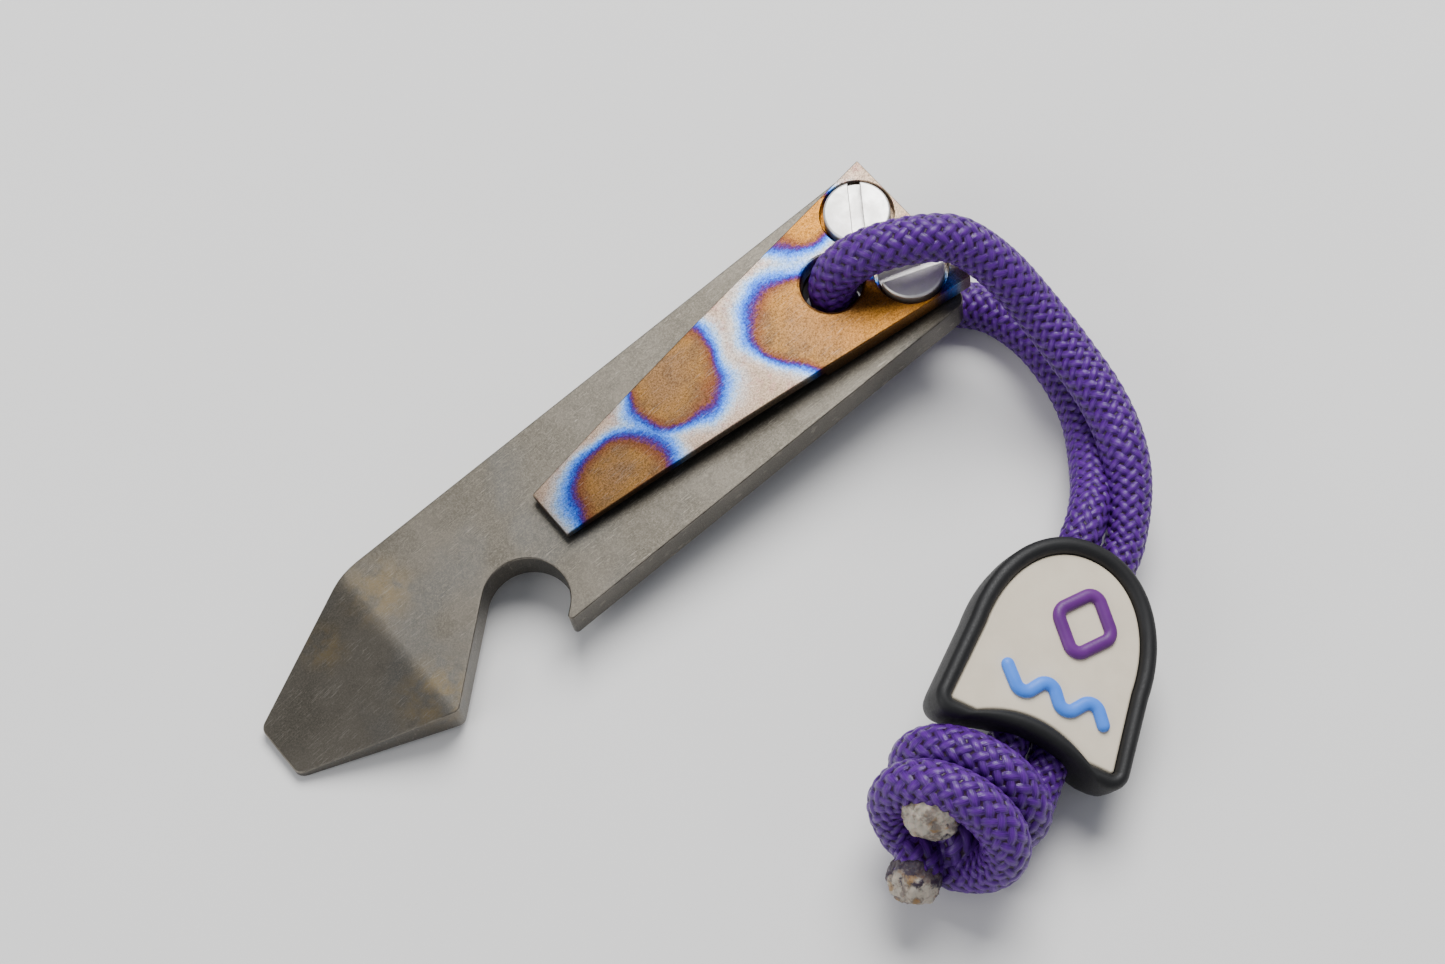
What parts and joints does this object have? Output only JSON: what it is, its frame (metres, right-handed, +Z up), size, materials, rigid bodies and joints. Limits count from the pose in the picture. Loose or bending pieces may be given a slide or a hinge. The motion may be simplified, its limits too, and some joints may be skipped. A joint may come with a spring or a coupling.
{
  "type": "keychain bottle opener",
  "caption": "Small flat pry bar with an opener notch, an anodised pocket clip held by slotted screws, and a braided cord lanyard with a moulded bead and a knot.",
  "frame": {"origin": "on the table under the middle of the metal bar and clip", "axes": "+X along the bar from the pry tip to the lanyard end, +Y to the bar's left seen from above, +Z up from the table"},
  "size_m": [0.074, 0.0559, 0.0171],
  "materials": {
    "tumbled_titanium": "stone-tumbled grey titanium, satin",
    "anodised_titanium": "flame-anodised titanium: bronze patches edged with blue on pale straw, satin",
    "polished_steel": "polished screw heads",
    "purple_cord": "braided nylon sheath",
    "melted_nylon": "melted and sealed cord end",
    "bead_black": "matte soft PVC",
    "bead_cream": "matte soft PVC",
    "bead_purple": "matte soft PVC",
    "bead_blue": "matte soft PVC"
  },
  "bodies": {
    "bar": {"pry_bar_body": "tumbled_titanium", "clip_base": "anodised_titanium", "clip_screw_1": "polished_steel", "clip_screw_2": "polished_steel"},
    "clip_arm": {"clip_arm": "anodised_titanium"},
    "lanyard": {"paracord": "purple_cord", "lanyard_knot": "purple_cord", "cord_end_1": "melted_nylon", "cord_end_2": "melted_nylon"},
    "bead": {"bead_body": "bead_black", "bead_panel": "bead_cream", "bead_motif_purple": "bead_purple", "bead_motif_blue": "bead_blue"}
  },
  "joints": [
    {"name": "clip_flex", "type": "hinge", "parent": "bar", "child": "clip_arm", "pos_m": [0.01934, 0, 0.00923], "axis": [0, 1, 0], "range_deg": [0, 4], "stiffness_Nm_per_rad": 3},
    {"name": "lanyard_swing", "type": "hinge", "parent": "bar", "child": "lanyard", "pos_m": [0.02551, 0, 0], "axis": [0, 0, 1], "range_deg": [-30, 30]},
    {"name": "bead_slide", "type": "slide", "parent": "lanyard", "child": "bead", "axis": [0.866, 0.5, 0], "range_m": [0, 0.003]}
  ]
}
